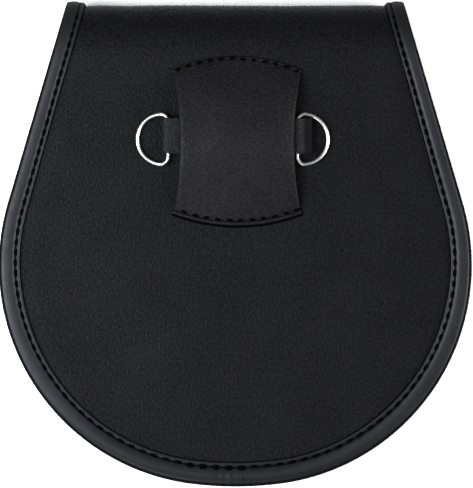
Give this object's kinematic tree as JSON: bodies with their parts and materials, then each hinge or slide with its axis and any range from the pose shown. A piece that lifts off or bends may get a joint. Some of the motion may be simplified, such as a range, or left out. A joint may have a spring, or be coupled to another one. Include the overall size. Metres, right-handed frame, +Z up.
{
  "type": "sporran pouch",
  "caption": "Flat rounded leather belt pouch with a fold-over flap, bound edge, belt loop and swivelling D-rings on its back.",
  "frame": {"origin": "centre of the overall box at the surface that the pouch lies on", "axes": "+X across the pouch, +Y towards the fold at its top, +Z up, out of its back panel"},
  "size_m": [0.1898, 0.1956, 0.0386],
  "materials": {
    "panel_leather": "matte fine-grained black leather",
    "binding_leather": "smooth satin black leather",
    "pocket_leather": "soft matte black leather",
    "loop_leather": "matte fine-grained black leather",
    "strap_leather": "matte black leather",
    "nickel": "polished nickel"
  },
  "bodies": {
    "pouch": {"back_and_flap": "panel_leather", "edge_binding": "binding_leather", "gusset": "pocket_leather", "front_panel": "panel_leather", "front_binding": "binding_leather", "belt_loop": "loop_leather", "ring_strap": "strap_leather", "press_fastener": "nickel"},
    "ring_left": {"d_ring_left": "nickel"},
    "ring_right": {"d_ring_right": "nickel"}
  },
  "joints": [
    {"name": "ring_left_swivel", "type": "hinge", "parent": "pouch", "child": "ring_left", "pos_m": [-0.0269, 0.04175, 0.0318], "axis": [0, 1, 0], "range_deg": [0, 120]},
    {"name": "ring_right_swivel", "type": "hinge", "parent": "pouch", "child": "ring_right", "pos_m": [0.0249, 0.04175, 0.0318], "axis": [0, -1, 0], "range_deg": [0, 90]}
  ]
}
